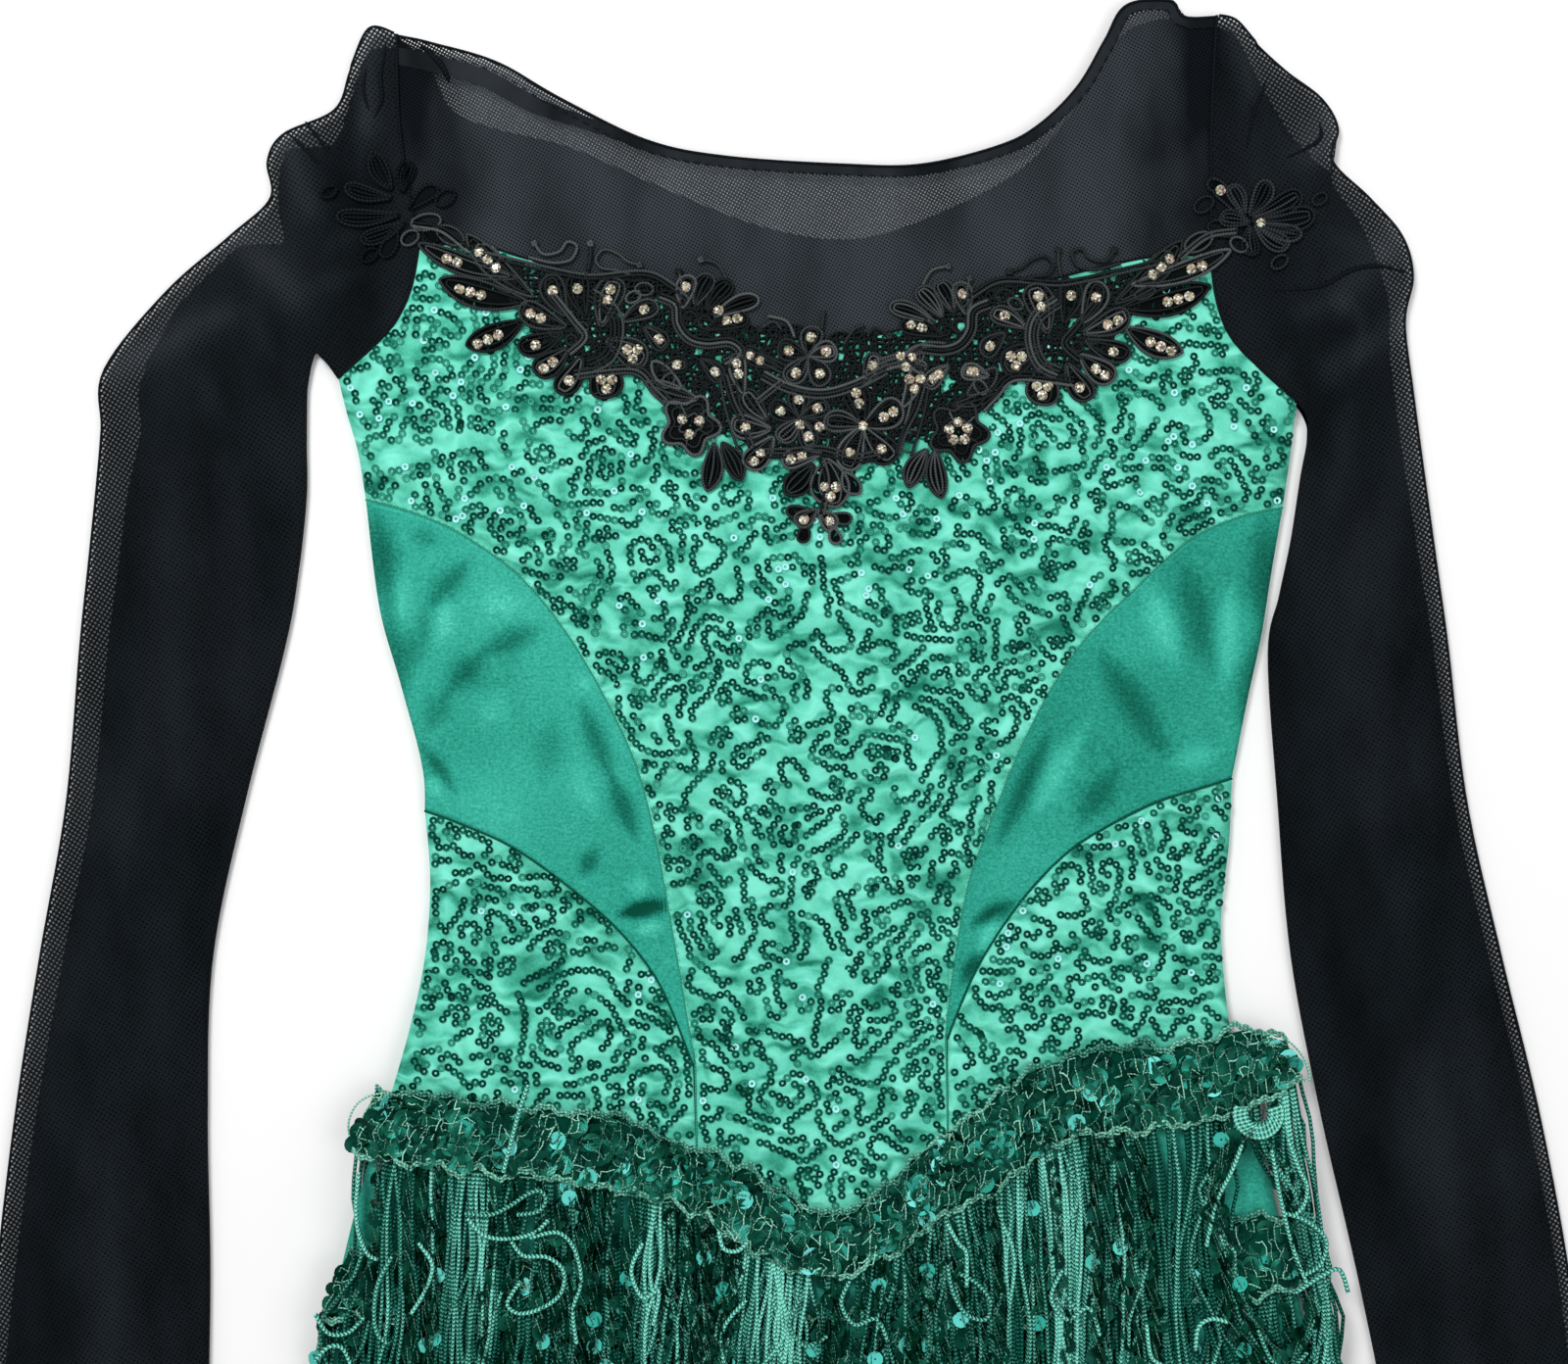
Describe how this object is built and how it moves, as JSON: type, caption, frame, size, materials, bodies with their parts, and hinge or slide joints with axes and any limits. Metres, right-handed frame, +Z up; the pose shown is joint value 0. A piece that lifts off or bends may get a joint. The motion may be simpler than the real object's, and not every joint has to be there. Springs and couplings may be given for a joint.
{
  "type": "beaded unitard",
  "caption": "Long-sleeved stage unitard laid flat, with a sequined bodice, satin insets, sheer yoke and sleeves, lace applique, sequin trims and cord fringe.",
  "frame": {"origin": "on the underside of the back, at the middle of the waist", "axes": "+Y towards the neck, +X to the right of a viewer looking down on the front, +Z up from the surface"},
  "size_m": [0.6078, 0.6577, 0.0139],
  "materials": {
    "jersey": "turquoise-green stretch jersey with a soft sheen, under the sequins",
    "satin": "teal stretch satin with a brushed sheen",
    "net": "sheer blue-black stretch net",
    "lace": "black corded guipure lace",
    "trim_sequin": "dark green overlapping sequins under a pale netting of thread",
    "fringe": "mint and teal chainette cord",
    "sequin": "transparent dark green cup sequins",
    "stone": "foiled champagne rhinestones with a rainbow coating",
    "thread": "mint sewing and netting thread"
  },
  "bodies": {
    "root": {"back_bodice": "jersey", "back_yoke": "net", "back_shorts": "satin", "front_shorts": "satin", "front_centre": "jersey", "front_yoke": "net", "inset_left": "satin", "inset_right": "satin", "hip_left": "jersey", "hip_right": "jersey", "sleeve_left": "net", "sleeve_right": "net", "sprig_left": "lace", "sprig_right": "lace", "applique": "lace", "trim_upper": "trim_sequin", "trim_lower": "trim_sequin", "fringe_upper": "fringe", "fringe_lower": "fringe", "fringe_back": "fringe"}
  },
  "joints": []
}
